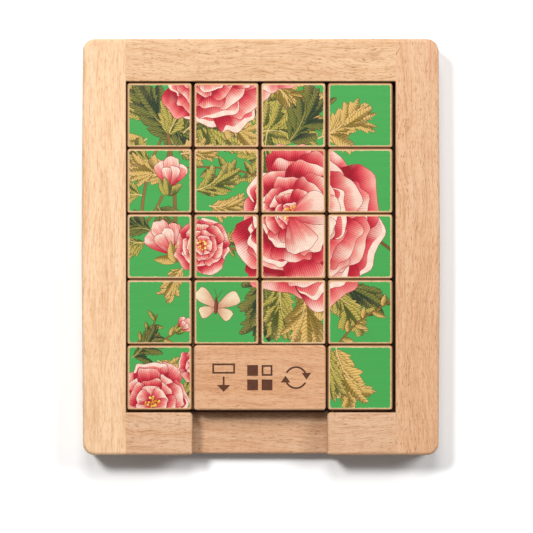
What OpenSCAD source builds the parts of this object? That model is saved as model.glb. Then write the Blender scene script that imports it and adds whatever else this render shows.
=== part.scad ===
// Sliding tile puzzle: a flat wooden frame, eighteen double-sided picture tiles held by
// tongues and grooves, and one plain double-width block that lifts the jam when it is
// drawn out through a recess in the bottom rail.
// Millimetres, +Z up. The origin is the middle of the frame's back face, +Z leaves the
// front face and the recess is at -Y.

/* [Tiles] */
// Side of one square tile
tile_size = 25.2; // [21:0.1:30]
// Gap between two tiles of a row, which stand a little apart
gap_x = 0.7; // [0.1:0.05:0.8]
// Gap between two tiles of a column
gap_y = 0.2; // [0.1:0.05:0.6]
// Distance from a tile's face back to the frame's face, the same on both sides
tile_inset = 0.5; // [0.2:0.1:1]
// Rounding of a tile's face edges
tile_edge_r = 0.8; // [0.3:0.1:1]
// Rounding of a tile's upright corners
tile_corner_r = 1.6; // [0.4:0.1:2]

/* [Tongues and grooves] */
// Thickness of every tongue
tongue_t = 2.4; // [1.6:0.1:3]
// How far every tongue stands out
tongue_out = 3.2; // [2.6:0.1:4.2]
// Clearance of a groove on each side of its tongue
groove_side_clear = 0.2; // [0.1:0.05:0.35]
// Extra depth of a groove beyond its tongue
groove_end_clear = 0.2; // [0.1:0.05:0.4]

/* [Play in the frame] */
// Free space at the left of the tiles
play_left = 0.4; // [0.3:0.1:1.2]
// Free space at the right of the tiles
play_right = 1.1; // [0.3:0.1:1.6]
// Free space above the tiles
play_top = 0.5; // [0.3:0.1:1]
// Free space below the tiles
play_bottom = 0.9; // [0.3:0.1:1.2]

/* [Frame] */
// Thickness of the frame, back to front
frame_t = 16; // [13.5:0.5:20]
// Width of the two upright stiles
stile_w = 16.7; // [14:0.1:24]
// Width of the top and bottom rails
rail_w = 16.5; // [13.5:0.1:22]
// Radius of the frame's four outer corners
frame_corner_r = 4.6; // [4.4:0.1:8]
// How far each stile's outer side swells at mid height
stile_bow = 0.55; // [0.1:0.05:1]
// Straight length between a corner and the start of that swell
swell_start = 3; // [1:0.5:10]
// Rounding of the frame's outer edges
frame_edge_r = 1.4; // [0.6:0.1:2]
// Rounding of the frame's edges around the opening
inner_edge_r = 0.4; // [0.3:0.1:1]

/* [Corner joints] */
// Length of a rail's stub tenon
tenon_len = 9; // [6:0.5:11]
// Width of a tenon
tenon_w = 8; // [6:0.5:9]
// Thickness of a tenon
tenon_t = 5; // [4:0.5:6]
// Clearance of a mortise on each side of its tenon
tenon_clear = 0.1; // [0.05:0.05:0.2]
// Extra depth of a mortise
tenon_end_clear = 0.5; // [0.2:0.1:1]

/* [Block and recess] */
// Clearance of the recess on each side of the block
recess_clear = 0.6; // [0.3:0.1:1]
// Gap between the block's underside and the recess floor
block_lift = 0.3; // [0.2:0.05:0.6]
// Rounding of the block's and the recess's edges
block_edge_r = 0.9; // [0.4:0.1:1]
// Rounding of the recess's upright edges
post_r = 1.5; // [0.4:0.1:2]

/* [Engraving on the block] */
// Depth of the engraved lines
engrave_depth = 0.3; // [0.15:0.05:0.6]
// Width of the engraved lines
engrave_line = 0.7; // [0.5:0.05:0.9]
// Height of the engraved signs
sign_h = 11; // [9:0.5:13]
// Distance between two engraved signs, middle to middle
sign_pitch = 14; // [12:0.5:15]

/* [Hidden] */
$fn = 64;
eps = 0.01;          // overlap that keeps unions and cuts clean
cols = 4;
rows = 5;
block_col = 1;       // the block's first column, counted from 0
block_cols = 2;
pitch_x = tile_size + gap_x;
pitch_y = tile_size + gap_y;
open_w = cols * pitch_x - gap_x + play_left + play_right;
open_h = rows * pitch_y - gap_y + play_top + play_bottom;
out_w = open_w + 2 * stile_w;
out_h = open_h + 2 * rail_w;
open_x0 = -open_w / 2;
open_x1 = open_w / 2;
open_y0 = -open_h / 2;
open_y1 = open_h / 2;
groove_t = tongue_t + 2 * groove_side_clear;
groove_d = tongue_out + groove_end_clear;
mid_z = frame_t / 2;
tongue_z = mid_z - tongue_t / 2;
groove_z = mid_z - groove_t / 2;
tile_t = frame_t - 2 * tile_inset;
block_w = block_cols * pitch_x - gap_x;
block_x0 = tile_x(block_col);
block_y0 = tile_y(rows - 1);
block_z0 = tongue_z;
block_z1 = frame_t - tile_inset;
recess_z = block_z0 - block_lift;
recess_x0 = block_x0 - recess_clear;
recess_x1 = block_x0 + block_w + recess_clear;
tongue_stop = 0.3;   // a rail's tongue stops this far short of a crossing tongue
tongue_root = tile_corner_r + 1; // how far the block's tongues run into its body
far = 40;            // how far cutting shapes run past the wood

// Proportions of the engraved signs, as shares of their height
sign_box_w = 0.8;    // the small block of the first sign
sign_box_h = 0.36;
sign_box_y = 0.14;   // its lower edge above the sign's middle
sign_shaft = 0.3;    // length of the arrow's shaft
sign_head = 0.24;    // length and half width of the arrow's head
sign_square = 0.38;  // side of a square of the second sign
sign_ring = 0.4;     // radius of the third sign's ring
sign_tip = 0.17;     // half width of the ring's arrow heads
sign_tip_reach = 0.4; // how far they reach past the ring's end, in half widths

// The lower left corner of a column and of a row, counted from 0 at the top left
function tile_x(c) = open_x0 + play_left + c * pitch_x;
function tile_y(r) = open_y1 - play_top - tile_size - r * pitch_y;

// A rectangle with round corners, from its lower left corner
module round_rect(w, h, r) {
  translate([r, 0]) square([w - 2 * r, h]);
  translate([0, r]) square([w, h - 2 * r]);
  for (x = [r, w - r], y = [r, h - r]) translate([x, y]) circle(r);
}

// A box with round edges on its faces and rounder upright corners
module eased_box(w, d, h, edge_r, corner_r) {
  intersection() {
    linear_extrude(h) round_rect(w, d, corner_r);
    translate([0, d, 0]) rotate([90, 0, 0]) linear_extrude(d) round_rect(w, h, edge_r);
    translate([0, 0, h]) rotate([0, 90, 0]) linear_extrude(w) round_rect(h, d, edge_r);
  }
}

// What rounding removes from a square edge: the corner at the origin, wood in +X +Y
module edge_cut(r) {
  difference() {
    translate([-eps, -eps]) square(r + eps);
    translate([r, r]) circle(r);
  }
}

// The same, laid along X, along Y or upright, with its wood side given by signs
module edge_along_x(len, r, sy, sz) {
  flip_y = sy < 0 ? 1 : 0;
  flip_z = sz < 0 ? 1 : 0;
  mirror([0, flip_y, 0]) mirror([0, 0, flip_z])
    rotate([90, 0, 90]) linear_extrude(len) edge_cut(r);
}
module edge_along_y(len, r, sx, sz) {
  flip_x = sx < 0 ? 1 : 0;
  flip_z = sz < 0 ? 1 : 0;
  mirror([flip_x, 0, 0]) mirror([0, 0, flip_z])
    translate([0, len, 0]) rotate([90, 0, 0]) linear_extrude(len) edge_cut(r);
}
module edge_upright(len, r, sx, sy) {
  flip_x = sx < 0 ? 1 : 0;
  flip_y = sy < 0 ? 1 : 0;
  mirror([flip_x, 0, 0]) mirror([0, flip_y, 0])
    linear_extrude(len) edge_cut(r);
}

// ---- frame ----

// Half the profile of a frame corner, turned through part of a circle from +X
module corner_turn(turn) {
  rotate_extrude(angle = turn) {
    square([frame_corner_r - frame_edge_r, frame_t]);
    translate([0, frame_edge_r]) square([frame_corner_r, frame_t - 2 * frame_edge_r]);
    for (z = [frame_edge_r, frame_t - frame_edge_r])
      translate([frame_corner_r - frame_edge_r, z]) circle(frame_edge_r);
  }
}

// One stile with the wood at its left, its inner face on x = open_x0, without joints
module stile_body() {
  x0 = -out_w / 2;
  mid_y = out_h / 2 - frame_corner_r;
  lean = atan(stile_bow / (mid_y - swell_start));
  intersection() {
    union() {
      for (end = [0, 1]) mirror([0, end, 0])
        translate([x0 + frame_corner_r, -mid_y, 0]) rotate([0, 0, 180]) corner_turn(90);
      // between the two corners, rounded on the outside
      translate([x0, mid_y, 0]) rotate([90, 0, 0])
        linear_extrude(2 * mid_y) round_rect(out_w, frame_t, frame_edge_r);
      // from the corners inwards, rounded at both ends
      translate([x0 + frame_corner_r, 0, frame_t]) rotate([0, 90, 0])
        linear_extrude(out_w - 2 * frame_corner_r)
          translate([0, -out_h / 2]) round_rect(frame_t, out_h, frame_edge_r);
      // the swell, which leans out from near the corners to mid height
      for (end = [0, 1]) mirror([0, end, 0])
        intersection() {
          translate([x0, swell_start - mid_y, 0]) rotate([0, 0, lean])
            translate([0, out_h, 0]) rotate([90, 0, 0])
              linear_extrude(out_h + far) round_rect(out_w, frame_t, frame_edge_r);
          translate([x0 - far, -mid_y, -far]) cube([out_w + 2 * far, mid_y, frame_t + 2 * far]);
        }
    }
    translate([x0 - far, -out_h / 2 - far, -far])
      cube([stile_w + far, out_h + 2 * far, frame_t + 2 * far]);
  }
}

module stile_cuts() {
  // mortises for the two rails
  for (y = [-1, 1])
    translate([open_x0 - tenon_len - tenon_end_clear,
               y * (open_y1 + rail_w / 2) - tenon_w / 2 - tenon_clear,
               mid_z - tenon_t / 2 - tenon_clear])
      cube([tenon_len + tenon_end_clear + eps, tenon_w + 2 * tenon_clear,
            tenon_t + 2 * tenon_clear]);
  // eased edges along the opening
  translate([open_x0, open_y0, 0]) edge_along_y(open_h, inner_edge_r, -1, 1);
  translate([open_x0, open_y0, frame_t]) edge_along_y(open_h, inner_edge_r, -1, -1);
}

module left_stile() {
  color([0.93, 0.78, 0.6]) difference() {
    stile_body();
    stile_cuts();
    // groove for the tiles' left tongues
    translate([open_x0 - groove_d, open_y0, groove_z])
      cube([groove_d + eps, open_h + groove_d, groove_t]);
  }
}

module right_stile() {
  color([0.88, 0.7, 0.53]) union() {
    mirror([1, 0, 0]) difference() {
      stile_body();
      stile_cuts();
    }
    translate([open_x1 - tongue_out, open_y0, tongue_z])
      cube([tongue_out + eps, open_h, tongue_t]);
  }
}

// One rail with the wood at the top, its inner face on y = open_y1
module rail_body() {
  difference() {
    intersection() {
      translate([-open_w / 2, 0, frame_t]) rotate([0, 90, 0])
        linear_extrude(open_w)
          translate([0, -out_h / 2]) round_rect(frame_t, out_h, frame_edge_r);
      translate([-open_w / 2 - far, open_y1, -far])
        cube([open_w + 2 * far, rail_w + far, frame_t + 2 * far]);
    }
    for (z = [0, 1])
      translate([open_x0 - eps, open_y1, z * frame_t])
        edge_along_x(open_w + 2 * eps, inner_edge_r, 1, 1 - 2 * z);
  }
  // stub tenons
  for (x = [open_x0 - tenon_len, open_x1 - eps])
    translate([x, open_y1 + rail_w / 2 - tenon_w / 2, mid_z - tenon_t / 2])
      cube([tenon_len + eps, tenon_w, tenon_t]);
}

module top_rail() {
  color([0.94, 0.79, 0.6]) difference() {
    rail_body();
    // groove for the tiles' top tongues
    translate([open_x0 - eps, open_y1 - eps, groove_z])
      cube([open_w + 2 * eps, groove_d + eps, groove_t]);
  }
}

module bottom_rail() {
  y_out = -out_h / 2;
  color([0.93, 0.77, 0.59]) {
    difference() {
      mirror([0, 1, 0]) rail_body();
      // recess for the block
      translate([recess_x0, y_out - far, recess_z])
        cube([recess_x1 - recess_x0, rail_w + 2 * far, far]);
      // channel for the block's left tongue
      translate([block_x0 - groove_d, y_out - far, groove_z])
        cube([groove_d, rail_w + 2 * far, groove_t]);
      // rounded edges of the two posts beside the recess
      for (side = [-1, 1]) {
        x = side < 0 ? recess_x0 : recess_x1;
        translate([x, y_out, recess_z]) edge_upright(far, post_r, side, 1);
        translate([x, open_y0, recess_z]) edge_upright(far, post_r, side, -1);
        translate([x, y_out - eps, frame_t])
          edge_along_y(rail_w + 2 * eps, block_edge_r, side, -1);
      }
      // rounded edges of the recess floor
      translate([recess_x0, y_out, recess_z])
        edge_along_x(recess_x1 - recess_x0, block_edge_r, 1, -1);
      translate([recess_x0, open_y0, recess_z])
        edge_along_x(recess_x1 - recess_x0, block_edge_r, -1, -1);
    }
    // tongues that the two outer bottom tiles ride on
    left_end = block_x0 - groove_d - tongue_stop;
    translate([open_x0, open_y0 - eps, tongue_z])
      cube([left_end - open_x0, tongue_out + eps, tongue_t]);
    right_end = open_x1 - tongue_out - tongue_stop;
    translate([recess_x1 + post_r, open_y0 - eps, tongue_z])
      cube([right_end - recess_x1 - post_r, tongue_out + eps, tongue_t]);
  }
}

// ---- tiles ----

// Tongues on the left and at the top, one L, from the lower left corner of a w by h piece
module tongues(w, h) {
  difference() {
    translate([-tongue_out, groove_d, tongue_z])
      cube([w - groove_d + tongue_out, h - groove_d + tongue_out, tongue_t]);
    translate([tongue_out, groove_d - far, tongue_z - far])
      cube([w + far, h - groove_d - tongue_out + far, tongue_t + 2 * far]);
  }
}

// Grooves on the right and at the bottom
module grooves(w, h) {
  translate([w - groove_d, -eps, groove_z])
    cube([groove_d + far, h + 2 * eps, groove_t]);
  translate([-eps, -far, groove_z])
    cube([w + 2 * eps, groove_d + far, groove_t]);
}

module tile(row, col) {
  color([0.35, 0.68, 0.37])
    translate([tile_x(col - 1), tile_y(row - 1), 0]) {
      difference() {
        translate([0, 0, tile_inset])
          eased_box(tile_size, tile_size, tile_t, tile_edge_r, tile_corner_r);
        grooves(tile_size, tile_size);
      }
      tongues(tile_size, tile_size);
    }
}

// ---- block ----

// Signs cut into the block's face, seen from the front, each about its own middle

// A block with an arrow that leads it down and out
module sign_draw_out() {
  w = sign_h * sign_box_w;
  h = sign_h * sign_box_h;
  y = sign_h * sign_box_y;
  head = sign_h * sign_head;
  difference() {
    translate([-w / 2, y]) square([w, h]);
    translate([-w / 2 + engrave_line, y + engrave_line])
      square([w - 2 * engrave_line, h - 2 * engrave_line]);
  }
  translate([-engrave_line / 2, -sign_h / 2 + head])
    square([engrave_line, sign_h * sign_shaft]);
  polygon([[-head, -sign_h / 2 + head], [head, -sign_h / 2 + head], [0, -sign_h / 2]]);
}

// Four small squares, one of them moved along
module sign_slide() {
  s = sign_h * sign_square;
  for (x = [-s - engrave_line, engrave_line], y = [-s - engrave_line, engrave_line])
    translate([x, y]) difference() {
      square(s);
      if (x > 0 && y > 0)
        translate([engrave_line, engrave_line]) square(s - 2 * engrave_line);
    }
}

// Two half rings with arrow heads: turn it over
module sign_turn_over() {
  r = sign_h * sign_ring;
  tip = sign_h * sign_tip;
  for (half = [0, 180]) rotate(half) {
    difference() {
      circle(r);
      circle(r - engrave_line);
      translate([-far, -far]) square([2 * far, far + tip]);
    }
    translate([r - engrave_line / 2, 0])
      polygon([[-tip, tip], [tip, tip], [0, -tip * sign_tip_reach]]);
  }
}

module signs() {
  translate([-sign_pitch, 0]) sign_draw_out();
  sign_slide();
  translate([sign_pitch, 0]) sign_turn_over();
}

module spacer_block() {
  h = block_z1 - block_z0;
  color([0.87, 0.68, 0.49])
    translate([block_x0, block_y0, 0]) {
      difference() {
        translate([0, 0, block_z0])
          eased_box(block_w, tile_size, h, block_edge_r, tile_corner_r);
        // rabbet over the tongue of the tile at its right
        translate([block_w - groove_d, -eps, groove_z - far])
          cube([groove_d + far, tile_size + 2 * eps, groove_t + far]);
        translate([block_w / 2, tile_size / 2, block_z1 - engrave_depth])
          linear_extrude(far) signs();
      }
      // tongues at the left and at the top
      translate([-tongue_out, 0, tongue_z])
        cube([tongue_out + tongue_root, tile_size, tongue_t]);
      translate([-tongue_out, tile_size - tongue_root, tongue_z])
        cube([block_w - groove_d + tongue_out, tongue_out + tongue_root, tongue_t]);
    }
}

module tile_r1c1() tile(1, 1);
module tile_r1c2() tile(1, 2);
module tile_r1c3() tile(1, 3);
module tile_r1c4() tile(1, 4);
module tile_r2c1() tile(2, 1);
module tile_r2c2() tile(2, 2);
module tile_r2c3() tile(2, 3);
module tile_r2c4() tile(2, 4);
module tile_r3c1() tile(3, 1);
module tile_r3c2() tile(3, 2);
module tile_r3c3() tile(3, 3);
module tile_r3c4() tile(3, 4);
module tile_r4c1() tile(4, 1);
module tile_r4c2() tile(4, 2);
module tile_r4c3() tile(4, 3);
module tile_r4c4() tile(4, 4);
module tile_r5c1() tile(5, 1);
module tile_r5c4() tile(5, 4);

left_stile();
right_stile();
top_rail();
bottom_rail();
spacer_block();
tile_r1c1();
tile_r1c2();
tile_r1c3();
tile_r1c4();
tile_r2c1();
tile_r2c2();
tile_r2c3();
tile_r2c4();
tile_r3c1();
tile_r3c2();
tile_r3c3();
tile_r3c4();
tile_r4c1();
tile_r4c2();
tile_r4c3();
tile_r4c4();
tile_r5c1();
tile_r5c4();
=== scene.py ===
import math
import random

import bpy
import numpy as np
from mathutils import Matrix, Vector
from mathutils.geometry import delaunay_2d_cdt


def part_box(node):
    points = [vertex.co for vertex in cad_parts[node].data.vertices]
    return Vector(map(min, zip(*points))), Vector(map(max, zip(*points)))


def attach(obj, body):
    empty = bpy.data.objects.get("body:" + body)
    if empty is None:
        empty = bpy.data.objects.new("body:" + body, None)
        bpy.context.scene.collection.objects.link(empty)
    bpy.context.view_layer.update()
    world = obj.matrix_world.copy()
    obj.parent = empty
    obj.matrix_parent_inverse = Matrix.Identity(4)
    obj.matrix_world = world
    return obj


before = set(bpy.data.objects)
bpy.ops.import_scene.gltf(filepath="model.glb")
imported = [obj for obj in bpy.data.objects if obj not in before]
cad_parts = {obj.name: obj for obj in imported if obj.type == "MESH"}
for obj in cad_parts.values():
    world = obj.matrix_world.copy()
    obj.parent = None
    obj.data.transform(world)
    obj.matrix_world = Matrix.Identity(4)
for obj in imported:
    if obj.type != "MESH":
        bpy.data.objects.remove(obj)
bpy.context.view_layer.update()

MM = 0.001
# sizes of the CAD model that the looks need, in mm
FRAME_T = 16.0  # the frame's thickness
TILE = 25.2  # side of a tile without its tongues
GAP_X = 0.7  # between two tiles of a row
FRONT_Z, BACK_Z = 15.5, 0.5  # the two faces of the tiles; the block shares the front one
TONGUE = 3.2  # how far tongues stand out

# ---------------------------------------------------------------- camera, light, floor
VIEW_WIDTH = 0.20626  # what the picture's width spans at the frame's front face
CAMERA_HEIGHT = 1.1  # over the frame's front face
SENSOR = 36.0
camera_data = bpy.data.cameras.new("camera")
camera_data.sensor_width = SENSOR
camera_data.lens = SENSOR * CAMERA_HEIGHT / VIEW_WIDTH
camera_data.clip_start, camera_data.clip_end = 0.01, 20.0
camera = bpy.data.objects.new("camera", camera_data)
camera.location = (0.00223, -0.00755, FRAME_T * MM + CAMERA_HEIGHT)
bpy.context.scene.collection.objects.link(camera)
bpy.context.scene.camera = camera
bpy.context.scene.view_settings.view_transform = "Standard"


def area_light(name, place, size, power, colour=(1, 1, 1)):
    """A round lamp aimed at the middle of the floor."""
    data = bpy.data.lights.new(name, "AREA")
    data.shape, data.size, data.energy, data.color = "DISK", size, power, colour
    lamp = bpy.data.objects.new(name, data)
    lamp.location = place
    lamp.rotation_euler = (-Vector(place)).to_track_quat("-Z", "Y").to_euler()
    bpy.context.scene.collection.objects.link(lamp)
    return lamp


area_light("key", (-0.55, 0.52, 1.2), 0.30, 17.0, (1.0, 0.99, 0.97))
area_light("right_fill", (0.95, 0.5, 1.0), 0.6, 13.0)
area_light("top_fill", (0.0, 1.0, 1.3), 0.6, 12.0)
world = bpy.data.worlds.new("world")
world.use_nodes = True
background = world.node_tree.nodes["Background"]
background.inputs["Color"].default_value = (1, 1, 1, 1)
background.inputs["Strength"].default_value = 0.24
bpy.context.scene.world = world

bpy.ops.mesh.primitive_plane_add(size=8, location=(0, 0, 0))
floor = bpy.context.object
floor.name = "floor"
floor_mat = bpy.data.materials.new("floor")
floor_mat.use_nodes = True
floor_bsdf = floor_mat.node_tree.nodes["Principled BSDF"]
floor_bsdf.inputs["Base Color"].default_value = (0.76, 0.76, 0.76, 1)
floor_bsdf.inputs["Roughness"].default_value = 0.9
floor_bsdf.inputs["Specular IOR Level"].default_value = 0.1
floor.data.materials.append(floor_mat)


# ---------------------------------------------------------------- node helpers
LIGHT = 1.64  # what a white face sends back under this light
PALEST = 0.95  # the most light that a surface here sends back


def linear(value):
    """One sRGB value, 0 to 255, as linear light."""
    v = value / 255
    return v / 12.92 if v <= 0.04045 else ((v + 0.055) / 1.055) ** 2.4


def paint(r, g, b):
    """The surface colour that shows as this sRGB colour."""
    return tuple(min(linear(v) / LIGHT, PALEST) for v in (r, g, b))


def times(colour, factors):
    """A colour with each channel multiplied by its own factor."""
    return tuple(min(c * k, PALEST) for c, k in zip(colour, factors))


class Tree:
    """Short ways to add nodes to one material."""

    def __init__(self, name):
        self.mat = bpy.data.materials.new(name)
        self.mat.use_nodes = True
        self.tree = self.mat.node_tree
        self.bsdf = self.tree.nodes["Principled BSDF"]
        self.coord = self.tree.nodes.new("ShaderNodeTexCoord").outputs["Object"]

    def put(self, socket, value):
        """Link a socket to another one, or set its value."""
        if isinstance(value, bpy.types.NodeSocket):
            self.tree.links.new(value, socket)
        elif isinstance(value, tuple) and len(value) == 3 and socket.type == "RGBA":
            socket.default_value = (*value, 1.0)
        else:
            socket.default_value = value

    def node(self, kind, inputs=(), **props):
        n = self.tree.nodes.new(kind)
        for k, v in props.items():
            setattr(n, k, v)
        for k, v in dict(inputs).items():
            self.put(n.inputs[k], v)
        return n

    def math(self, operation, a, b=0.0):
        return self.node("ShaderNodeMath", {0: a, 1: b}, operation=operation).outputs[0]

    def separate(self, vector):
        """A vector's three parts."""
        return self.node("ShaderNodeSeparateXYZ", {0: vector}).outputs

    def scaled(self, vector, scale, shift=(0, 0, 0)):
        n = self.node("ShaderNodeMapping", {"Vector": vector, "Scale": scale, "Location": shift})
        return n.outputs[0]

    def noise(self, vector, scale, detail=2.0, rough=0.5):
        """Noise of about 1 unit's size in the scaled vector."""
        n = self.node("ShaderNodeTexNoise", {"Vector": self.scaled(vector, scale), "Scale": 1.0,
                                             "Detail": detail, "Roughness": rough})
        return n.outputs[0]

    def ramp(self, value, low, high, a=0.0, b=1.0):
        """A smooth step from a at low to b at high."""
        n = self.node("ShaderNodeMapRange", {0: value, 1: low, 2: high, 3: a, 4: b})
        n.interpolation_type = "SMOOTHSTEP"
        return n.outputs[0]

    def mix(self, factor, a, b, blend="MIX"):
        """Colour a blended with colour b. Sockets 0, 6 and 7 are the node's factor and colours."""
        n = self.tree.nodes.new("ShaderNodeMix")
        n.data_type, n.blend_type = "RGBA", blend
        self.put(n.inputs[0], factor)
        self.put(n.inputs[6], a)
        self.put(n.inputs[7], b)
        return n.outputs[2]


# ---------------------------------------------------------------- beech
def grain_vector(t, axis, shift):
    """The piece's own coordinates in mm, turned so that its grain runs along X."""
    v = t.coord
    if axis == "Y":
        v = t.node("ShaderNodeMapping", {"Vector": v, "Rotation": (0, 0, math.pi / 2)}).outputs[0]
    return t.scaled(v, (1000, 1000, 1000), shift)


def bent(t, vector, along, across, amount):
    """The grain swung sideways by up to this many mm."""
    swing = t.math("SUBTRACT", t.noise(vector, (along, across, across), 1.0), 0.5)
    side = t.node("ShaderNodeCombineXYZ", {1: t.math("MULTIPLY", swing, amount)}).outputs[0]
    return t.node("ShaderNodeVectorMath", {0: vector, 1: side}, operation="ADD").outputs[0]


def ray_flecks(t, grain):
    """Short dashes along the grain, in two sizes: (scale along, scale across, part left out, width)."""
    marks = 0.0
    for along, across, left_out, width in ((0.28, 1.7, 0.35, 0.30), (0.55, 2.9, 0.5, 0.32)):
        inputs = {"Vector": t.scaled(grain, (along, across, across)), "Scale": 1.0, "Randomness": 1.0}
        cells = t.node("ShaderNodeTexVoronoi", inputs, voronoi_dimensions="3D")
        chosen = t.node("ShaderNodeSeparateColor", {0: cells.outputs["Color"]}).outputs[0]
        spot = t.ramp(cells.outputs["Distance"], width, width * 0.35)
        spot = t.math("MULTIPLY", spot, t.ramp(chosen, left_out, left_out + 0.3))
        marks = t.math("MAXIMUM", spot, marks)
    return marks


def beech(name, base, axis, shift, fleck=0.5, streak=0.5, lines=0.3, warm=0.5, wave=1.0, extra=None):
    """Sanded beech: soft wavy figure, fine fibres along the grain and short dark ray flecks.
    shift: picks another place in the wood, in mm. fleck, streak, lines, warm: strengths, 0 to 1.
    wave: how far the grain swings. extra: a function that adds to the colour."""
    t = Tree(name)
    grain = bent(t, grain_vector(t, axis, shift), 0.016, 0.04, 14.0 * wave)
    grain = bent(t, grain, 0.16, 0.22, 1.6 * wave)
    broad = t.noise(grain, (0.010, 0.16, 0.16), 3.0, 0.6)
    figure = t.noise(grain, (0.05, 0.62, 0.62), 2.0, 0.55)
    fibre = t.noise(grain, (0.12, 1.9, 1.9), 3.0, 0.6)
    short = t.noise(grain, (0.38, 2.6, 2.6), 2.0, 0.6)
    dark = times(base, (0.72, 0.60, 0.50))
    light = times(base, (1.10, 1.19, 1.32))
    red = times(base, (0.96, 0.85, 0.80))
    colour = t.mix(t.ramp(broad, 0.34, 0.68, 0.0, streak), base, light)
    colour = t.mix(t.ramp(broad, 0.56, 0.38, 0.0, warm * 0.7), colour, red)
    colour = t.mix(t.ramp(figure, 0.54, 0.66, 0.0, lines * 0.75), colour, dark)
    colour = t.mix(t.ramp(figure, 0.46, 0.34, 0.0, lines), colour, light)
    colour = t.mix(t.ramp(fibre, 0.52, 0.66, 0.0, lines * 1.2), colour, dark)
    colour = t.mix(t.ramp(fibre, 0.46, 0.34, 0.0, lines), colour, light)
    colour = t.mix(t.ramp(short, 0.54, 0.68, 0.0, lines * 1.2), colour, dark)
    colour = t.mix(t.ramp(short, 0.45, 0.32, 0.0, lines), colour, light)
    marks = ray_flecks(t, grain)
    colour = t.mix(t.math("MULTIPLY", marks, fleck), colour, times(base, (0.56, 0.40, 0.30)))
    if extra:
        colour = extra(t, colour)
    t.put(t.bsdf.inputs["Base Color"], colour)
    t.put(t.bsdf.inputs["Roughness"], t.ramp(fibre, 0.2, 0.8, 0.45, 0.58))
    t.bsdf.inputs["Specular IOR Level"].default_value = 0.22
    bump = t.node("ShaderNodeBump", {"Strength": 0.3, "Distance": 0.00008,
                                     "Height": t.math("SUBTRACT", t.math("ADD", short, fibre), marks)})
    t.put(t.bsdf.inputs["Normal"], bump.outputs[0])
    return t.mat


SIGN_REACH_X, SIGN_REACH_Y = 22.5, 8.5  # the signs lie within this much of the block's middle
SIGN_DEPTH = 0.4  # no sign is engraved deeper


def burnt_signs(t, colour):
    """Burnt brown in the engraved signs, which lie a little under the block's face."""
    xyz = t.separate(t.coord)
    deep = t.ramp(xyz[2], (FRONT_Z - 0.04) * MM, (FRONT_Z - 0.10) * MM)
    deep = t.math("MULTIPLY", deep, t.math("GREATER_THAN", xyz[2], (FRONT_Z - SIGN_DEPTH) * MM))
    low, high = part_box("spacer_block")  # with the tongues at its left and top
    middle_x, middle_y = high[0] - (TILE + GAP_X / 2) * MM, low[1] + TILE / 2 * MM
    for part, middle, reach in ((xyz[0], middle_x, SIGN_REACH_X), (xyz[1], middle_y, SIGN_REACH_Y)):
        off = t.math("ABSOLUTE", t.math("SUBTRACT", part, middle))
        deep = t.math("MULTIPLY", deep, t.math("LESS_THAN", off, reach * MM))
    scorch = t.noise(t.coord, (900, 900, 900), 2.0)
    return t.mix(deep, colour, t.mix(scorch, paint(76, 38, 20), paint(108, 60, 36)))


def side_wood_and_shade(t, colour):
    """A tile's wood is darker from its round edges down its sides: partly the darker cut wood of its sides,
    partly painted shade that falls between the tiles.
    """
    middle, half = (FRONT_Z + BACK_Z) / 2, (FRONT_Z - BACK_Z) / 2
    up = t.math("ABSOLUTE", t.math("SUBTRACT", t.separate(t.coord)[2], middle * MM))
    uneven_edge = t.math("SUBTRACT", t.noise(t.coord, (260, 260, 260), 2.0), 0.5)
    up = t.math("ADD", up, t.math("MULTIPLY", uneven_edge, 0.12 * MM))
    side = t.ramp(up, (half - 0.03) * MM, (half - 0.14) * MM)
    # painted shade between the tiles, together with the darker side wood
    return t.mix(t.math("MULTIPLY", side, 0.88), colour, paint(150, 100, 62))


INNER_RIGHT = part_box("right_stile")[0][0] + (TONGUE + 0.02) * MM  # X just inside the right stile


def painted_gap_shade(t, colour):
    """Painted shade: the right stile's tongue and inner wall are darkened below its face, where the gap
    beside the tiles lies in deep shadow.
    """
    xyz = t.separate(t.coord)
    inside = t.math("LESS_THAN", xyz[0], INNER_RIGHT)
    low = t.ramp(xyz[2], (FRAME_T - 0.4) * MM, (FRAME_T - 1.0) * MM)
    # painted shade: the gap's shadow mixed in as dark brown
    return t.mix(t.math("MULTIPLY", t.math("MULTIPLY", inside, low), 0.9), colour, paint(58, 34, 20))


WOODS = {
    "left_stile": beech("beech_left", paint(246, 202, 158), "Y", (3, 40, 7), fleck=0.35, streak=0.6,
                        lines=0.45, warm=0.2, wave=0.35),
    # the right stile carries painted shade in the gap beside the tiles
    "right_stile": beech("beech_right", paint(229, 181, 140), "Y", (60, 11, 31), fleck=0.9, streak=0.8,
                         lines=0.5, extra=painted_gap_shade),
    "top_rail": beech("beech_top", paint(231, 186, 142), "X", (9, 70, 3), fleck=0.9, streak=0.7, lines=0.55),
    "bottom_rail": beech("beech_bottom", paint(224, 177, 137), "X", (31, 15, 52), fleck=0.85, streak=0.8,
                         lines=0.5),
    "spacer_block": beech("beech_block", paint(224, 170, 127), "X", (80, 5, 21), fleck=0.7, streak=0.8,
                          lines=0.5, warm=0.6, extra=burnt_signs),
}
TILE_COLOURS = ((226, 182, 134), (216, 172, 126), (232, 192, 146))
TILE_WOODS = [beech(f"beech_tile_{i}", paint(*rgb), "X", (17 * i, 23 * i, 5 * i), fleck=0.35, streak=0.5,
                    lines=0.3, extra=side_wood_and_shade) for i, rgb in enumerate(TILE_COLOURS)]


def row_and_column(node):
    """The numbers in a tile's name, such as tile_r2c3."""
    return int(node[6]), int(node[8])


for node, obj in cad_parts.items():
    wood = WOODS.get(node)
    if wood is None:
        row, col = row_and_column(node)
        wood = TILE_WOODS[(row * 5 + col * 2) % len(TILE_WOODS)]
    obj.data.materials.clear()
    obj.data.materials.append(wood)


# ---------------------------------------------------------------- the printed pictures
# A picture is a list of flat shapes, the lowest first, in mm from the middle of the puzzle. Each has
# an outline and a tint: a rule that gives each point's colour and its ink lines' phase and strength.


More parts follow.
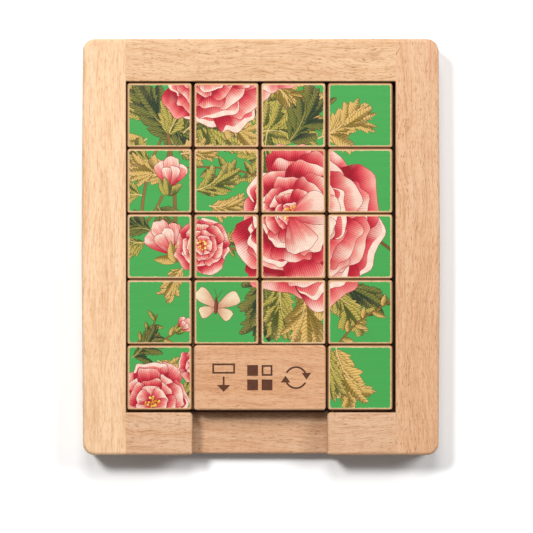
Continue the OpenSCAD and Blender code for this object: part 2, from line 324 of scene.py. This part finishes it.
def mixed(stops, v):
    """Colour at v, from (place, sRGB colour) stops."""
    places = [p for p, _ in stops]
    cols = np.array([paint(*c) for _, c in stops])
    return np.stack([np.interp(v, places, cols[:, i]) for i in range(3)], -1)


def turned(points, base, angle):
    """Points drawn along X from the origin, moved to base and turned to the angle."""
    c, s = math.cos(angle), math.sin(angle)
    p = np.asarray(points, float)
    return np.stack([base[0] + p[:, 0] * c - p[:, 1] * s, base[1] + p[:, 0] * s + p[:, 1] * c], -1)


def offset(point, angle, distance):
    """The point that lies this far away at the angle."""
    return point[0] + distance * math.cos(angle), point[1] + distance * math.sin(angle)


def steered(points, t):
    """The point at t, 0 to 1, on the curve from the first to the third point."""
    (x0, y0), (x1, y1), (x2, y2) = points
    return ((1 - t) ** 2 * x0 + 2 * t * (1 - t) * x1 + t * t * x2,
            (1 - t) ** 2 * y0 + 2 * t * (1 - t) * y1 + t * t * y2)


def local(xy, base, angle):
    """How far points lie along and across a shape with this base and angle."""
    c, s = math.cos(angle), math.sin(angle)
    dx, dy = xy[:, 0] - base[0], xy[:, 1] - base[1]
    return dx * c + dy * s, -dx * s + dy * c


def grown(outline, by):
    """The outline moved outwards, for a dark line round a shape."""
    after, before = np.roll(outline, -1, 0), np.roll(outline, 1, 0)
    d = after - before
    outwards = np.stack([d[:, 1], -d[:, 0]], -1) / (np.hypot(d[:, 0], d[:, 1])[:, None] + 1e-9)
    area = np.sum(outline[:, 0] * after[:, 1] - after[:, 0] * outline[:, 1])
    return outline + outwards * by * (1 if area > 0 else -1)


def blend(colours, other, share):
    """Colours with a share of another one, the share given for each point."""
    share = share[:, None]
    return colours * (1 - share) + other * share


def plain(colour):
    """A tint of one colour without ink lines."""
    c = np.array(paint(*colour))
    return lambda xy: (np.tile(c, (len(xy), 1)), np.zeros((len(xy), 2)))


# Palettes. Flowers have stops from a petal's foot to its tip, deep for its shaded side and fold for a
# turned-over rim; leaves have a light half, a dark half and a tip. line is the outline's colour and
# ink the strength of the ink lines.
PINK = {"line": (156, 30, 50), "deep": (200, 28, 54), "fold": (255, 234, 216), "ink": 0.9,
        "stops": [(0.0, (170, 10, 38)), (0.22, (210, 36, 60)), (0.45, (236, 92, 98)),
                  (0.7, (246, 142, 134)), (0.9, (251, 184, 168)), (1.0, (254, 220, 202))]}
ROSE = {"line": (180, 56, 74), "deep": (220, 90, 100), "fold": (253, 236, 216), "ink": 0.45,
        "stops": [(0.0, (204, 48, 72)), (0.4, (230, 104, 110)), (0.8, (245, 164, 152)),
                  (1.0, (252, 216, 198))]}
OLIVE = {"line": (62, 66, 28), "light": (196, 184, 88), "dark": (86, 98, 38),
         "tip": (226, 196, 128), "ink": 0.75}
GOLD = {"line": (98, 72, 30), "light": (230, 196, 112), "dark": (146, 124, 48),
        "tip": (238, 196, 142), "ink": 0.65}
SHADE = {"line": (32, 42, 28), "light": (122, 128, 58), "dark": (46, 66, 42),
         "tip": (178, 160, 88), "ink": 0.75}
PETAL_FOOT = 0.3  # how wide a petal starts, as a share of its width


class Picture:
    """A printed picture: its ground and the shapes on it, with ways to draw flowers and leaves."""

    def __init__(self, ground, seed):
        self.shapes = []
        self.ground = ground
        self.r = random.Random(seed)

    def add(self, outline, tint):
        self.shapes.append((np.asarray(outline, float), tint))

    def lined(self, outline, tint, colour, width=0.17):
        """A shape with a dark line round it."""
        self.add(grown(outline, width), plain(colour))
        self.add(outline, tint)

    def petal(self, base, angle, length, width, pal, bright=0.0, fold=0.5, ruffle=1.0, hidden=0.0):
        """A ruffled petal. fold: how likely its rim turns over. hidden: the share under the next ring."""
        r = self.r
        waves = [(f, r.uniform(0.3, 1.0) * ruffle * 0.05 / (1 + 0.15 * f), r.uniform(0, 6.3))
                 for f in (3, 5, 8, 11)]
        points = []
        n = 34 if length < 12 else 60
        for i in range(n):  # once round the outline: v is 0 at the foot and 1 at the tip
            t = (i + 0.5) / n
            v = ((1 - math.cos(2 * math.pi * t)) / 2) ** 0.75
            s = math.sin(2 * math.pi * t)
            across = math.copysign(abs(s) ** 0.72, s) * (PETAL_FOOT + (1 - PETAL_FOOT) * v)
            wavy = 1 + sum(size * math.sin(f * 2 * math.pi * t + start) for f, size, start in waves) * v
            points.append((length * v * wavy, width / 2 * across * wavy))
        outline = turned(points, base, angle)
        shade_side = r.choice((-1, 1))
        deep, fold_colour = np.array(paint(*pal["deep"])), np.array(paint(*pal["fold"]))
        pitch = r.uniform(0.75, 1.0)
        phase = r.uniform(0, 9)

        def tint(xy):
            along, across = local(xy, base, angle)
            v = np.clip(along / length, 0, 1.1)
            spread = (width / 2) * (PETAL_FOOT + (1 - PETAL_FOOT) * np.clip(v, 0.05, 1))
            u = np.clip(across / spread, -1.2, 1.2)
            rib = 0.05 * np.sin(u * 9 + phase) + 0.04 * np.sin(u * 17 + 2 * phase)
            seen = np.clip((v - hidden) / (1 - hidden), 0, 1)  # 0 where the next ring begins to cover it
            colour = mixed(pal["stops"], np.clip(seen + bright + rib, 0, 1))
            shade = np.clip((u * shade_side - 0.05) * 0.9, 0, 0.75) * np.clip(1.2 - seen, 0.35, 1)
            colour = blend(colour, deep, shade)
            patch = np.sin(u * 2.3 + phase) * np.sin(v * 4.1 + 2.1 * phase)
            patch = patch + 0.35 * np.sin(u * 7 - v * 6 + phase)
            pale = np.clip((patch - 0.35) * 1.3, 0, 0.75) * np.clip(seen * 1.4 - 0.2, 0, 1)
            colour = blend(colour, fold_colour, pale)
            strength = pal["ink"] * np.clip(1.12 - seen, 0.22, 1) * np.clip(1.2 - bright, 0.4, 1.2)
            return colour, np.stack([u * width / 2 / pitch + phase, strength], -1)

        self.lined(outline, tint, pal["line"])
        if r.random() < fold:
            self.rim(outline, base, angle, length, pal, pitch, phase)

    def rim(self, outline, base, angle, length, pal, pitch, phase):
        """A turned-over rim along part of a petal's tip."""
        r = self.r
        n = len(outline)
        start = r.uniform(0.28, 0.36)
        end = r.uniform(0.62, 0.72)
        part = [i for i in range(n) if start < (i + 0.5) / n < end]
        depth = length * r.uniform(0.06, 0.13)
        inner = []
        for i in part:
            t = ((i + 0.5) / n - start) / (end - start)
            d = depth * math.sin(math.pi * t) ** 0.8 * (0.8 + 0.3 * math.sin(9 * t + phase))
            to_base = np.array(base) - outline[i]
            inner.append(outline[i] + to_base / np.hypot(*to_base) * d)
        light, pale = np.array(paint(*pal["fold"])), np.array(paint(*pal["stops"][-1][1]))

        def tint(xy):
            across = local(xy, base, angle)[1]
            share = 0.5 + 0.5 * np.sin(across * 1.7 + phase)
            return blend(light, pale, share), np.stack([across / pitch, np.full(len(xy), 0.22)], -1)

        self.add(np.array([outline[i] for i in part] + inner[::-1]), tint)

    def bloom(self, centre, radius, rings, pal, lean=(0.0, 0.0), stamens=0, core=0.0):
        """A full flower. rings: (petals, length share, brightness) from the outside in.
        lean: how much longer petals grow that way. core: how far the stamens reach."""
        r = self.r
        lean_r, lean_a = math.hypot(*lean), math.atan2(lean[1], lean[0])
        for k, (n, share, bright) in enumerate(rings):
            hidden = (rings[k + 1][1] / share if k + 1 < len(rings) else 0.3) * 0.86
            start = r.uniform(0, 6.3)
            order = list(range(n))
            r.shuffle(order)
            for i in order:
                angle = start + 2 * math.pi * (i + r.uniform(-0.22, 0.22)) / n
                grow = 1 + lean_r * math.cos(angle - lean_a)
                length = radius * share * grow * r.uniform(0.9, 1.1)
                width = 2 * math.pi * radius * share * grow / n * r.uniform(1.1, 1.5)
                width = min(width, 1.5 * length)
                base = offset(centre, angle, -0.08 * length)
                self.petal(base, angle, length, width, pal, bright + r.uniform(-0.16, 0.12), fold=0.3,
                           hidden=hidden)
        for i in range(stamens):
            a, d = r.uniform(0, 6.3), core * math.sqrt(r.random())
            tip = (centre[0] + d * math.cos(a), centre[1] + d * 0.8 * math.sin(a))
            self.ribbon([centre, tip], 0.22, 0.16, r.choice(((214, 120, 40), (232, 150, 60), (190, 70, 50))))
        for i in range(stamens):
            a, d = r.uniform(0, 6.3), core * math.sqrt(r.uniform(0.15, 1))
            place = (centre[0] + d * math.cos(a), centre[1] + d * 0.8 * math.sin(a))
            self.dot(place, r.uniform(0.3, 0.5), r.choice(((248, 208, 96), (240, 170, 60), (252, 226, 140))))

    def dot(self, centre, radius, colour):
        self.add([offset(centre, 2 * math.pi * i / 7, radius) for i in range(7)], plain(colour))

    def ribbon(self, points, w0, w1, colour, line=None):
        """A stem or a filament between 2 points, or along the curve that 3 points steer.
        w0, w1: its width at the start and at the end."""
        n = 12 if len(points) == 3 else 2
        curve = []
        for i in range(n):
            curve.append(steered(points, i / (n - 1)) if len(points) == 3 else points[i])
        middle = np.array(curve)
        d = np.gradient(middle, axis=0)
        sideways = np.stack([-d[:, 1], d[:, 0]], -1) / (np.hypot(d[:, 0], d[:, 1])[:, None] + 1e-9)
        half = (np.linspace(w0, w1, n) / 2)[:, None]
        outline = np.concatenate([middle + sideways * half, (middle - sideways * half)[::-1]])
        if line:
            self.lined(outline, plain(colour), line, 0.12)
        else:
            self.add(outline, plain(colour))

    def blade(self, base, angle, length, width, pal, teeth=6, swap=1, ragged=0.16, peak=0.8):
        """One lens-shaped lobe of a leaf: a light half, a dark half, slanting veins and a toothed edge.
        swap: 1 or -1, which half is light. peak: above 1 the lobe is widest past its middle."""
        r = self.r
        points = []
        n = 16
        shift = r.uniform(0, 1)
        for side in (1, -1):
            for i in range(n):
                v = (i + 0.5) / n if side == 1 else 1 - (i + 0.5) / n
                half = width / 2 * math.sin(math.pi * v ** peak) ** 0.9
                saw = 1 + ragged * (((v * teeth + shift) % 1) - 0.5) * (1 if v > 0.15 else 0)
                points.append((length * v + 0.16 * length * (saw - 1), side * half * saw))
        bow = r.uniform(-0.28, 0.28)
        points = [(b, a + bow * b * b / length) for b, a in points]
        light, dark, tip = (np.array(paint(*pal[k])) for k in ("light", "dark", "tip"))
        warm = r.uniform(0.0, 0.9)
        pitch = max(0.7, length / 11)

        def tint(xy):
            along, across = local(xy, base, angle)
            across = across - bow * along * along / length
            v = np.clip(along / length, 0, 1)
            half = width / 2 * np.sin(np.pi * np.clip(v, 0.02, 0.98) ** peak) + 0.2
            colour = blend(dark, light, np.clip(0.5 + 1.6 * (across * swap / half), 0, 1))
            colour = blend(colour, tip, np.clip(v - 0.45, 0, 1) * warm)
            colour = blend(colour, light * 1.15, np.clip(1 - np.abs(across) / 0.32, 0, 1) * 0.6)
            veins = (along - np.abs(across) * 0.8) / pitch
            return colour, np.stack([veins, np.full(len(xy), pal["ink"])], -1)

        self.lined(turned(points, base, angle), tint, pal["line"], 0.15)

    def leaf(self, base, angle, length, width, pal, lobes=3, bend=0.25, swap=1):
        """A feathery leaf: pairs of narrow ragged lobes up a bent midrib, and a cut one at the tip."""
        r = self.r
        rows = lobes + 2
        for i in range(rows):
            t = 0.06 + 0.62 * i / (rows - 1)  # from near the foot to two thirds of the length
            rib = angle + bend * t
            place = offset(base, rib, length * t)
            reach = width * (0.72 - 0.22 * t) * r.uniform(0.85, 1.12)
            for side in (1, -1):
                self.blade(place, rib + side * r.uniform(0.25, 0.75), reach, reach * r.uniform(0.26, 0.48),
                           pal, teeth=r.choice((2, 3, 4)), swap=swap * side, ragged=0.75, peak=1.15)
                self.blade(place, rib + side * r.uniform(0.0, 0.35), reach * r.uniform(0.7, 1.0),
                           reach * 0.24, pal, teeth=3, swap=swap, ragged=0.8, peak=1.2)
        place = offset(base, angle + bend * 0.45, length * 0.45)
        for fan in (0.3, -0.28, 0.02):
            self.blade(place, angle + bend + fan, length * (0.6 - 0.35 * abs(fan)), width * 0.2, pal,
                       teeth=5, swap=swap, ragged=0.6, peak=1.1)
        midrib = [base, offset(base, angle, 0.3 * length), offset(base, angle + bend, 0.6 * length)]
        self.ribbon(midrib, 0.5, 0.15, pal["tip"])

    def bud(self, base, angle, size, pal, green=OLIVE):
        """A closed flower on green blades. petals: (turn, size share, brightness), back to front."""
        tip = offset(base, angle, size * 0.25)
        petals = ((-0.5, 0.86, -0.1), (0.5, 0.88, 0.0), (0.0, 1.0, 0.1), (-0.22, 0.72, 0.25),
                  (0.25, 0.66, 0.1))
        for turn, share, bright in petals:
            self.petal(tip, angle + turn, size * share, size * 0.62 * share, pal, bright, fold=0.4,
                       ruffle=0.6)
        for turn in (-0.75, 0.75, 0.05):
            self.blade(base, angle + turn, size * 0.6, size * 0.26, green, teeth=3)

    def moth(self, centre, span, angle):
        """A pale moth with open wings, its head at the angle."""
        wing = {"line": (120, 74, 58), "deep": (230, 164, 132), "fold": (252, 236, 208), "ink": 0.7,
                "stops": [(0.0, (214, 128, 100)), (0.4, (240, 196, 158)), (1.0, (248, 226, 188))]}
        trunk = {"line": (88, 44, 34), "light": (150, 84, 54), "dark": (96, 52, 38), "tip": (120, 66, 44),
                 "ink": 0.3}
        for side in (1, -1):
            self.petal(centre, angle + side * 2.05, span * 0.36, span * 0.30, wing, 0.05, fold=0, ruffle=0.5)
            self.petal(centre, angle + side * 0.95, span * 0.52, span * 0.36, wing, 0.1, fold=0, ruffle=0.4)
        self.blade(offset(centre, angle, -0.14 * span), angle, span * 0.36, span * 0.07, trunk, teeth=1)
        head = offset(centre, angle, 0.2 * span)
        for side in (1, -1):
            self.ribbon([head, offset(head, angle + side * 0.45, 0.2 * span)], 0.2, 0.14, (96, 52, 38))

    def sprig(self, points, pal, leaves=5, size=5.0, bud=None):
        """A thin stem with small leaves on alternate sides, and a bud at its end if wanted."""
        (x0, y0), (x1, y1), (x2, y2) = points
        self.ribbon(points, 0.7, 0.3, (150, 104, 52), (84, 62, 34))
        for i in range(leaves):
            t = (i + 0.7) / (leaves + 0.6)
            dx = 2 * (1 - t) * (x1 - x0) + 2 * t * (x2 - x1)
            dy = 2 * (1 - t) * (y1 - y0) + 2 * t * (y2 - y1)
            a = math.atan2(dy, dx) + (0.85 if i % 2 else -0.85)
            self.blade(steered(points, t), a, size * self.r.uniform(0.8, 1.1), size * 0.36, pal, teeth=4,
                       swap=1 if i % 2 else -1)
        if bud:
            self.bud((x2, y2), math.atan2(y2 - y1, x2 - x1), bud, PINK)


def front_picture():
    """Pink blooms and olive leaves on a green ground. Lengths are in mm, angles in radians."""
    p = Picture(plain((74, 170, 84)), 11)
    # leaves behind the big bloom
    p.leaf((-8, 60), -0.75, 28, 22, OLIVE, 4, 0.3)
    p.leaf((-2, 44), 0.35, 24, 18, OLIVE, 3, -0.4)
    p.leaf((2, 64), -0.35, 26, 18, GOLD, 3, -0.4, -1)
    p.leaf((10, 40), 0.75, 24, 17, SHADE, 3, 0.3)
    p.leaf((22, 42), 0.35, 24, 16, GOLD, 4, 0.2)
    p.leaf((3, 46), -1.9, 22, 17, OLIVE, 3, 0.3, -1)
    p.leaf((0, 34), 2.5, 20, 15, OLIVE, 3, -0.4)
    p.leaf((4, -8), -2.1, 26, 19, SHADE, 3, 0.5)
    p.leaf((8, -14), -1.8, 22, 16, OLIVE, 3, 0.3)
    p.leaf((16, -12), -1.3, 28, 20, GOLD, 4, -0.3, -1)
    p.leaf((26, -10), -0.75, 24, 17, SHADE, 3, 0.35)
    p.leaf((26, -14), -1.05, 22, 16, OLIVE, 3, 0.3)
    p.ribbon([(40, 6), (47, 2), (54, -4)], 1.2, 0.9, (120, 88, 44), (64, 50, 26))
    # upper left leaves and stems
    p.ribbon([(-46, 14), (-44, 40), (-26, 60)], 1.0, 0.8, (150, 112, 58), (74, 60, 32))
    p.ribbon([(-38, 22), (-36, 40), (-30, 56)], 0.9, 0.7, (142, 104, 54), (74, 60, 32))
    p.leaf((-43, 48), 2.3, 24, 19, OLIVE, 4, -0.4)
    p.leaf((-44, 42), -2.6, 16, 14, GOLD, 3, 0.3)
    p.leaf((-38, 50), -0.9, 22, 17, SHADE, 3, 0.4)
    p.leaf((-30, 52), -0.7, 26, 19, OLIVE, 4, 0.35, -1)
    p.leaf((-16, 50), -0.3, 18, 14, GOLD, 3, -0.6)
    p.leaf((-42, 32), 2.5, 16, 13, OLIVE, 3, 0.4)
    p.leaf((-31, 36), 0.25, 15, 11, GOLD, 3, -0.3)
    p.sprig([(0, 27), (-16, 33), (-34, 30)], OLIVE, 6, 6.5)
    p.leaf((-34, 40), 2.0, 26, 18, SHADE, 4, 0.2)
    p.leaf((-36, 42), 1.35, 22, 15, OLIVE, 3, -0.3)
    p.leaf((-30, 44), 0.9, 20, 14, OLIVE, 3, -0.4, -1)
    p.leaf((-33, 26), 2.75, 20, 14, GOLD, 4, 0.2)
    p.ribbon([(-36, 44), (-33, 28), (-33, 4)], 1.1, 1.3, (142, 104, 54), (74, 60, 32))
    # bloom cut by the top edge
    p.bloom((-20, 68), 24, [(9, 1.0, -0.05), (9, 0.84, 0.0), (8, 0.66, 0.1), (7, 0.5, 0.0), (6, 0.34, 0.1)],
            PINK, lean=(0.12, 0.0), stamens=26, core=4.5)
    p.bloom((6, 74), 14, [(7, 1.0, 0.0), (6, 0.7, 0.1)], ROSE)
    # buds and small flower on the left
    p.ribbon([(-38, 20), (-42, 10), (-50, 4)], 0.9, 0.7, (150, 112, 58), (74, 60, 32))
    p.leaf((-46, 20), 2.9, 16, 13, OLIVE, 3, 0.4)
    p.leaf((-40, 16), -1.0, 17, 13, SHADE, 3, -0.3)
    p.leaf((-26, 22), 0.1, 19, 14, OLIVE, 3, 0.4)
    p.leaf((-20, 16), -0.3, 14, 10, GOLD, 3, 0.5)
    p.bud((-36, 20), 1.45, 12, PINK)
    p.leaf((-42, 6), 2.6, 16, 13, SHADE, 3, 0.5)
    p.leaf((-44, 2), -2.9, 15, 12, OLIVE, 3, -0.4)
    p.leaf((-16, 2), 0.1, 14, 10, OLIVE, 3, 0.35)
    p.ribbon([(-14, 0), (-4, -3), (6, 2)], 1.1, 0.8, (140, 108, 52), (74, 60, 32))
    p.leaf((-30, -8), -2.3, 13, 10, GOLD, 3, 0.3)
    p.bud((-33, -6), 2.0, 14, PINK, GOLD)
    p.bloom((-22.5, 0.5), 11.5, [(8, 1.0, -0.05), (8, 0.78, 0.1), (7, 0.55, 0.0), (5, 0.34, 0.1)], PINK,
            stamens=16, core=2.4)
    # the big bloom
    p.bloom((12, 13), 31, [(9, 1.0, -0.1), (9, 0.87, 0.0), (8, 0.73, 0.1), (8, 0.59, -0.05), (7, 0.45, 0.18),
                           (6, 0.32, 0.0), (5, 0.19, 0.1)], PINK, lean=(0.34, -0.14), stamens=40, core=3.6)
    for angle, size, bright in ((-0.5, 17, 0.35), (0.35, 15, 0.3), (-1.15, 14, 0.25)):
        p.petal((11.5, 11.5), angle, size, size * 1.15, PINK, bright, fold=1.0)  # over its middle
    # low down: sprigs, moth, low bloom
    p.sprig([(-50, -38), (-43, -36), (-40, -26)], OLIVE, 6, 4.6)
    p.sprig([(-46, -38), (-38, -37), (-33, -33)], GOLD, 4, 4.4, bud=6)
    p.moth((-17.2, -23.5), 19, 1.45)
    p.sprig([(30, -38), (36, -28), (51, -21)], GOLD, 6, 5.6)
    p.leaf((-50, -43), 0.6, 15, 11, SHADE, 3, 0.3)
    p.leaf((-40, -44), -0.5, 12, 9, GOLD, 3, 0.3)
    p.leaf((-34, -62), 1.1, 13, 10, OLIVE, 3, -0.5)
    p.bloom((-42, -60), 16.5, [(9, 1.0, 0.0), (9, 0.8, 0.12), (7, 0.58, 0.0), (6, 0.38, 0.15)], PINK,
            stamens=16, core=3.0)
    p.bloom((-24.5, -46), 7.5, [(7, 1.0, 0.0), (6, 0.6, 0.1)], PINK)
    # hanging leaf at the lower right
    p.leaf((29, -38), -1.45, 25, 20, GOLD, 4, 0.3)
    p.leaf((27, -38), -1.9, 20, 15, OLIVE, 3, 0.5)
    return p


def back_picture():
    """The reverse: smaller blooms and sprigs on a pale cream ground."""
    blush = {"line": (150, 66, 92), "deep": (216, 104, 132), "fold": (253, 234, 228), "ink": 0.5,
             "stops": [(0.0, (206, 88, 120)), (0.5, (236, 150, 166)), (1.0, (251, 214, 214))]}
    teal = {"line": (34, 74, 70), "light": (104, 160, 132), "dark": (48, 112, 104), "tip": (160, 180, 120),
            "ink": 0.5}
    p = Picture(plain((238, 226, 196)), 5)
    for x, y, a in ((-38, 46, 0.6), (10, 50, 2.6), (40, 20, -1.2), (-30, 6, -0.4), (14, -4, 1.0),
                    (-6, -40, 2.3), (40, -40, 1.8), (-44, -44, 0.5)):
        p.leaf((x, y), a, 24, 18, teal, 3, 0.4)
        p.leaf((x, y), a + 2.3, 20, 15, teal, 3, -0.4, -1)
        p.sprig([(x, y), offset((x, y), a + 1.2, 9), offset((x, y), a + 0.8, 19)], teal, 5, 5, bud=5)
    for x, y, size in ((-36, 48, 13), (12, 52, 12), (-8, 22, 17), (40, 26, 12), (-38, 2, 12), (18, -10, 13),
                       (-14, -32, 13), (42, -34, 12), (-42, -52, 12), (12, -54, 11)):
        p.bloom((x, y), size, [(9, 1.0, 0.0), (8, 0.74, 0.12), (7, 0.5, 0.0)], blush, stamens=16,
                core=size * 0.2)
    return p


def clipped(poly, x0, x1, y0, y1):
    """The outline cut to a rectangle."""
    for axis, limit, keep_low in ((0, x0, False), (0, x1, True), (1, y0, False), (1, y1, True)):
        if not len(poly):
            return poly
        d = poly[:, axis] - limit
        inside = d <= 0 if keep_low else d >= 0
        if inside.all():
            continue
        if not inside.any():
            return poly[:0]
        out = []
        for i in range(len(poly)):
            j = (i + 1) % len(poly)
            if inside[i]:
                out.append(poly[i])
            if inside[i] != inside[j]:
                out.append(poly[i] + (poly[j] - poly[i]) * (d[i] / (d[i] - d[j])))
        poly = np.array(out)
    return poly


def inside_of(points, poly):
    """Which points lie in the outline, by counting crossings."""
    hit = np.zeros(len(points), bool)
    near = np.where(((points >= poly.min(0)) & (points <= poly.max(0))).all(1))[0]
    if len(near):
        x, y = points[near, 0][:, None], points[near, 1][:, None]
        x0, y0 = poly[:, 0][None], poly[:, 1][None]
        x1, y1 = np.roll(poly[:, 0], -1)[None], np.roll(poly[:, 1], -1)[None]
        spans = (y0 > y) != (y1 > y)
        dy = np.where(y1 == y0, 1e-12, y1 - y0)
        hit[near] = ((spans & (x < x0 + (y - y0) / dy * (x1 - x0))).sum(1) % 2).astype(bool)
    return hit


PRINT_INSET = 0.78  # from a tile's side to its print, mm
PRINT_CORNER = 1.5  # radius of the print's corners
CUT_MARGIN = 0.02  # how far shapes reach past the print's edge before the final cut
SKIN = 0.012  # the print's height above the tile's face


def print_square(seed):
    """The print's edge on one tile, about the tile's middle: square, with slightly worn edges."""
    r = random.Random(seed)
    half = TILE / 2 - PRINT_INSET
    flat = half - PRINT_CORNER
    steps = 12
    points = []
    for side in range(4):
        run = []
        for i in range(steps):
            t = -1 + 2 * (i + 0.5) / steps
            run.append((half - r.uniform(0, 0.07), t * flat))
        run += [offset((flat, flat), a, PRINT_CORNER) for a in (0.2, 0.55, 0.785, 1.02, 1.37)]
        points = run + [(-y, x) for x, y in points]
    return np.array(points)


def cut_shapes(picture, edge, centre, seed):
    """The picture's shapes that reach one tile, cut to it, and loose points between them.
    Gives the points, each shape's list of points and each shape's tint, the lowest shape first."""
    low, high = edge.min(0), edge.max(0)
    points, shapes, tints = [], [], []

    def push(outline, tint):
        after = np.roll(outline, -1, 0)
        if np.sum(outline[:, 0] * after[:, 1] - after[:, 0] * outline[:, 1]) < 0:
            outline = outline[::-1]
        start = len(points)
        points.extend(Vector((float(x), float(y))) for x, y in outline)
        shapes.append(list(range(start, start + len(outline))))
        tints.append(tint)

    push(edge, picture.ground)
    for outline, tint in picture.shapes:
        outline = outline - centre
        if (outline.max(0) < low).any() or (outline.min(0) > high).any():
            continue
        outline = clipped(outline, low[0] - CUT_MARGIN, high[0] + CUT_MARGIN, low[1] - CUT_MARGIN,
                          high[1] + CUT_MARGIN)
        if len(outline) >= 3:
            push(outline, tint)
    # the loose points let colours change across a shape
    r = random.Random(seed)
    steps = 24
    for i in range(steps):
        for j in range(steps):
            x = low[0] + (high[0] - low[0]) * (i + 0.5 + r.uniform(-0.2, 0.2)) / steps
            y = low[1] + (high[1] - low[1]) * (j + 0.5 + r.uniform(-0.2, 0.2)) / steps
            points.append(Vector((x, y)))
    return points, shapes, tints


def skin(name, body, cx, cy, picture, z, up, material, seed):
    """One tile's printed face: the picture's shapes cut to the tile and joined into one flat mesh."""
    edge = print_square(seed)
    centre = np.array((cx, cy))
    points, shapes, tints = cut_shapes(picture, edge, centre, seed + 1)
    joined = delaunay_2d_cdt(points, [], shapes, 0, 1e-4, False)
    flat = np.array([(v[0], v[1]) for v in joined[0]])
    triangles = np.array([f for f in joined[2] if len(f) == 3])
    middle = flat[triangles].mean(1)
    top = np.full(len(triangles), -1)  # the uppermost shape over each triangle
    for k, shape in enumerate(shapes):
        top[inside_of(middle, np.array([(points[i][0], points[i][1]) for i in shape]))] = k
    # a shape's parts outside the print's edge are left out
    keep = inside_of(middle, edge)
    triangles, top = triangles[keep], top[keep]
    if not up:
        triangles = triangles[:, ::-1]
    mesh = bpy.data.meshes.new(name)
    places = np.column_stack([flat[:, 0] + cx, flat[:, 1] + cy, np.full(len(flat), z)]) * MM
    mesh.from_pydata(places.tolist(), [], triangles.tolist())
    # every triangle corner gets its colour, and its ink lines' phase, strength and way from the edge
    corners = triangles.reshape(-1)
    colour = np.ones((len(corners), 4))
    ink = np.zeros((len(corners), 3))
    corner_top = np.repeat(top, 3)
    for k in np.unique(top):
        own = corner_top == k
        shape_colour, shape_ink = tints[k](flat[corners[own]] + centre)
        colour[own, :3] = np.clip(shape_colour, 0, 1)
        ink[own, :2] = shape_ink
    from_edge = TILE / 2 - PRINT_INSET - np.abs(flat[corners]).max(1)
    ink[:, 2] = np.clip(from_edge, 0, 9)
    attribute = mesh.attributes.new("print_colour", "FLOAT_COLOR", "CORNER")
    attribute.data.foreach_set("color", colour.reshape(-1))
    attribute = mesh.attributes.new("print_ink", "FLOAT_VECTOR", "CORNER")
    attribute.data.foreach_set("vector", ink.reshape(-1))
    mesh.materials.append(material)
    obj = bpy.data.objects.new(name, mesh)
    bpy.context.scene.collection.objects.link(obj)
    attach(obj, body)


def print_material(name):
    """The printed picture: its colours, ink lines, the wood's grain through the ink and a pale edge that is
    partly worn print, partly painted highlight.
    """
    t = Tree(name)
    colour = t.node("ShaderNodeAttribute", attribute_name="print_colour").outputs["Color"]
    ink = t.node("ShaderNodeAttribute", attribute_name="print_ink").outputs["Vector"]
    ink_phase, ink_strength, from_edge = t.separate(ink)
    grain = grain_vector(t, "X", (5, 3, 9))
    # engraved-looking lines, broken up a little
    wobble = t.math("MULTIPLY", t.noise(grain, (0.5, 0.5, 0.5), 2.0), 0.5)
    phase = t.math("FRACT", t.math("ADD", ink_phase, wobble))
    off_line = t.math("ABSOLUTE", t.math("SUBTRACT", phase, 0.5))
    thick = t.math("MULTIPLY", t.noise(grain, (0.9, 0.9, 0.9), 1.0), 0.28)
    line = t.ramp(t.math("SUBTRACT", off_line, thick), 0.08, -0.05)
    line = t.math("MULTIPLY", line, ink_strength)
    colour = t.mix(line, colour, t.mix(1.0, colour, (0.52, 0.20, 0.20), "MULTIPLY"))
    # the wood's grain under the ink
    fine = t.noise(grain, (0.05, 2.2, 2.2), 3.0, 0.65)
    broad = t.noise(grain, (0.02, 0.35, 0.35), 2.0)
    dull = t.mix(1.0, colour, (0.70, 0.72, 0.66), "MULTIPLY")
    colour = t.mix(t.ramp(fine, 0.42, 0.75, 0.0, 0.22), colour, dull)
    dull = t.mix(1.0, colour, (0.86, 0.92, 0.84), "MULTIPLY")
    colour = t.mix(t.ramp(broad, 0.35, 0.7, 0.0, 0.30), colour, dull)
    speck = t.noise(grain, (0.5, 2.6, 2.6), 2.0, 0.7)
    bare = t.mix(0.4, colour, paint(225, 196, 140))
    colour = t.mix(t.ramp(speck, 0.66, 0.78, 0.0, 0.35), colour, bare)
    # worn edges: the pale cream round the print is partly bare worn wood, partly a painted highlight along
    # the tiles' edges
    uneven = t.math("MULTIPLY", t.noise(grain, (0.8, 1.6, 1.6), 3.0, 0.7), -0.5)
    worn_and_highlit = t.ramp(t.math("ADD", from_edge, uneven), -0.04, -0.2)
    t.put(t.bsdf.inputs["Base Color"], t.mix(worn_and_highlit, colour, paint(246, 216, 170)))
    t.bsdf.inputs["Roughness"].default_value = 0.42
    t.bsdf.inputs["Specular IOR Level"].default_value = 0.18
    bump = t.node("ShaderNodeBump", {"Strength": 0.2, "Distance": 0.00005, "Height": fine})
    t.put(t.bsdf.inputs["Normal"], bump.outputs[0])
    return t.mat


# ---------------------------------------------------------------- every tile's two faces
print_mat = print_material("printed_face")
front, back = front_picture(), back_picture()
for node in sorted(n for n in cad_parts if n.startswith("tile_")):
    row, col = row_and_column(node)
    low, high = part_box(node)  # with the tongues at its left and top
    cx, cy = high[0] / MM - TILE / 2, low[1] / MM + TILE / 2
    seed = (row - 1) * 10 + col - 1
    skin(f"print_{node[5:]}_front", node, cx, cy, front, FRONT_Z + SKIN, True, print_mat, seed + 50)
    skin(f"print_{node[5:]}_back", node, cx, cy, back, BACK_Z - SKIN, False, print_mat, seed)
